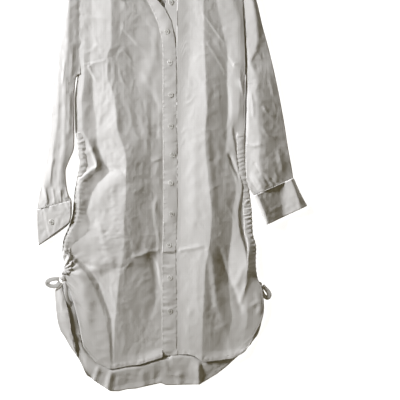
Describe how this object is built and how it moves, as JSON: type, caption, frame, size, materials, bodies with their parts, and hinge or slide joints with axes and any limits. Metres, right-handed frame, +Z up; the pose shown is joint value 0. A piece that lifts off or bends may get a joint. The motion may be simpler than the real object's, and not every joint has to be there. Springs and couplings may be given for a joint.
{
  "type": "tunic shirt dress",
  "caption": "White linen tunic shirt dress laid flat, with a buttoned front, cuffed long sleeves, gathered drawstring sides and a shirt-tail hem.",
  "frame": {"origin": "bottom centre of the box round the dress without its ties, on the surface it lies on", "axes": "+X towards the wearer's left, +Y from the hem towards the neck, +Z up from the surface"},
  "size_m": [0.622, 1.011, 0.0342],
  "materials": {
    "linen_body": "washed plain-weave linen, matt, creased",
    "linen_bands": "two pressed layers of the same linen, topstitched",
    "linen_casing": "gathered linen channel",
    "linen_tie": "narrow self-fabric tape",
    "button_shell": "pearly, slightly see-through, four holes"
  },
  "bodies": {
    "root": {"front_right": "linen_body", "front_left": "linen_body", "back_panel": "linen_body", "placket_right": "linen_bands", "placket_left": "linen_bands", "sleeve_right": "linen_body", "sleeve_left": "linen_body", "cuff_right": "linen_bands", "cuff_left": "linen_bands", "casing_right": "linen_casing", "casing_left": "linen_casing", "collar_stand": "linen_bands", "collar_leaf": "linen_bands", "tie_right_knot": "linen_tie", "tie_left_knot": "linen_tie", "tie_right_loop": "linen_tie", "tie_right_tail": "linen_tie", "tie_left_loop": "linen_tie", "tie_left_tail": "linen_tie", "button_front_1": "button_shell", "button_front_2": "button_shell", "button_front_3": "button_shell", "button_front_4": "button_shell", "button_front_5": "button_shell", "button_front_6": "button_shell", "button_front_7": "button_shell", "button_front_8": "button_shell", "button_front_9": "button_shell", "button_front_10": "button_shell", "button_neck": "button_shell", "button_cuff_right": "button_shell", "button_cuff_left": "button_shell"}
  },
  "joints": []
}
